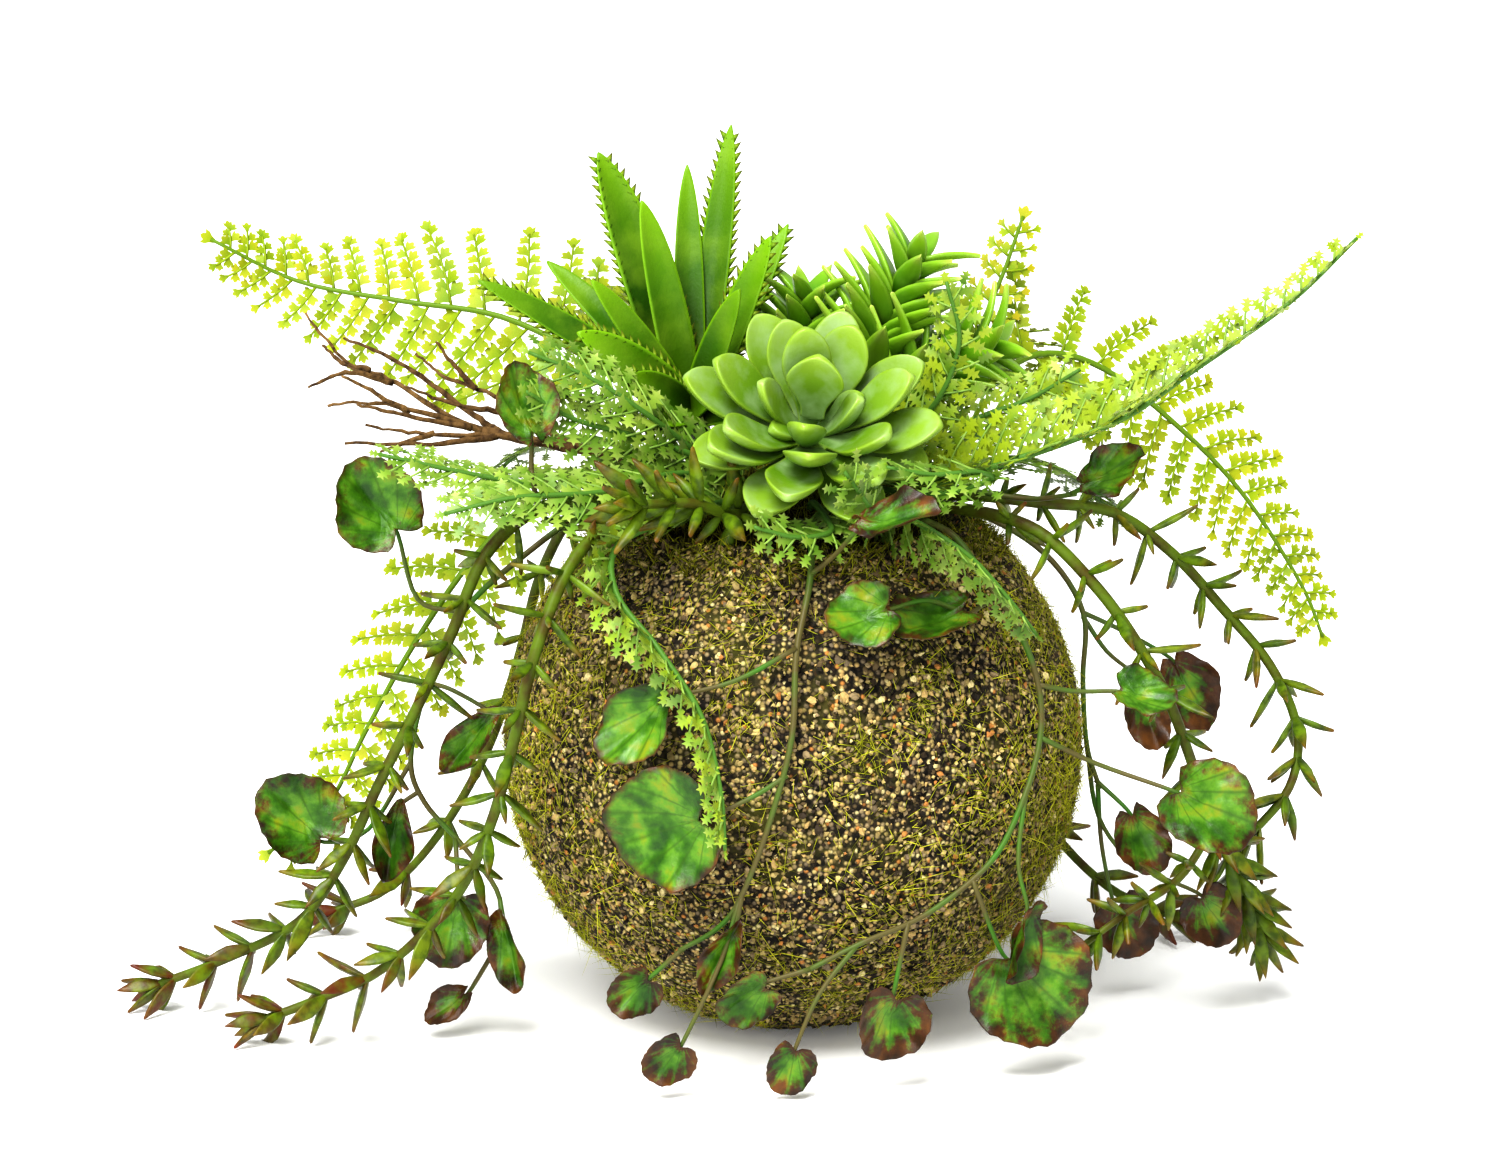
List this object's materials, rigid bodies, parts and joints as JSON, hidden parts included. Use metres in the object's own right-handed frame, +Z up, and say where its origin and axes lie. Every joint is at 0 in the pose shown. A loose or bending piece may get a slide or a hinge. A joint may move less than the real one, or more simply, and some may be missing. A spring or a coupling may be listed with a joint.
{
  "type": "kokedama moss ball plant",
  "caption": "Round moss-clad soil ball planted with a rosette, a toothed aloe, finger-leaved stems, ferns, trailing sedum, round-leaved vines and a few dry twigs, resting on a flat spot",
  "frame": {"origin": "The middle of the flat spot under the moss ball, on the surface that it rests on", "axes": "+Z up, +X to the right as seen from the front, the front facing -Y"},
  "size_m": [0.2797, 0.1881, 0.202],
  "materials": {
    "moss_grit": "matte, grit and short moss fibres",
    "soil": "rough, dark and damp",
    "fern_yellow": "satin leaf",
    "fern_pale": "satin leaf",
    "rosette_green": "satin with a pale bloom",
    "aloe_green": "satin leaf",
    "finger_green": "glossy fleshy leaf",
    "sedum_green": "satin, reddened tips",
    "vine_leaf": "satin, mottled, brown rim",
    "twig": "dry bark"
  },
  "bodies": {
    "root": {"aloe": "aloe_green", "fern_pale_1": "fern_pale", "fern_pale_10": "fern_pale", "fern_pale_11": "fern_pale", "fern_pale_12": "fern_pale", "fern_pale_13": "fern_pale", "fern_pale_14": "fern_pale", "fern_pale_15": "fern_pale", "fern_pale_2": "fern_pale", "fern_pale_3": "fern_pale", "fern_pale_4": "fern_pale", "fern_pale_5": "fern_pale", "fern_pale_6": "fern_pale", "fern_pale_7": "fern_pale", "fern_pale_8": "fern_pale", "fern_pale_9": "fern_pale", "fern_yellow_1": "fern_yellow", "fern_yellow_2": "fern_yellow", "fern_yellow_3": "fern_yellow", "fern_yellow_4": "fern_yellow", "fern_yellow_5": "fern_yellow", "fern_yellow_6": "fern_yellow", "finger_stem_1": "finger_green", "finger_stem_2": "finger_green", "finger_stem_3": "finger_green", "moss_skin": "moss_grit", "rosette": "rosette_green", "sedum_1": "sedum_green", "sedum_2": "sedum_green", "sedum_3": "sedum_green", "sedum_4": "sedum_green", "sedum_5": "sedum_green", "sedum_6": "sedum_green", "sedum_7": "sedum_green", "soil_core": "soil", "twig_bunch": "twig", "vine_1": "vine_leaf", "vine_2": "vine_leaf", "vine_3": "vine_leaf", "vine_4": "vine_leaf", "vine_5": "vine_leaf", "vine_6": "vine_leaf", "vine_7": "vine_leaf", "vine_8": "vine_leaf"}
  },
  "joints": []
}
